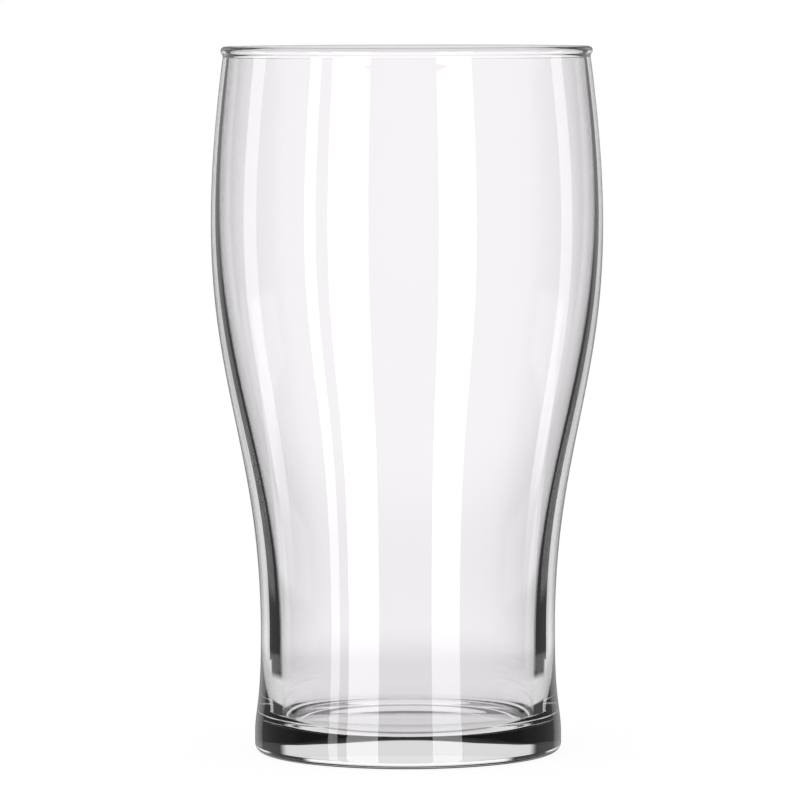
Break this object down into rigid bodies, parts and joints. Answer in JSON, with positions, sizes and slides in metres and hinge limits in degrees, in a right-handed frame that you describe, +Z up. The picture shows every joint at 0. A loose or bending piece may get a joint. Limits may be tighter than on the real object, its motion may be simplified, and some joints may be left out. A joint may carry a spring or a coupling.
{
  "type": "pub glass",
  "caption": "Clear tulip-shaped pint glass with a narrow waist, a wide belly, a beaded rim and a thick flat base.",
  "frame": {"origin": "centre of the foot, on the surface that the glass stands on", "axes": "+Z up along the axis of the glass, towards the mouth; X and Y are alike"},
  "size_m": [0.0852, 0.0852, 0.1534],
  "materials": {
    "clear_glass": "clear, fire-polished soda-lime glass, with a lightly stippled bearing ring underneath"
  },
  "bodies": {
    "root": {"glass_body": "clear_glass"}
  },
  "joints": []
}
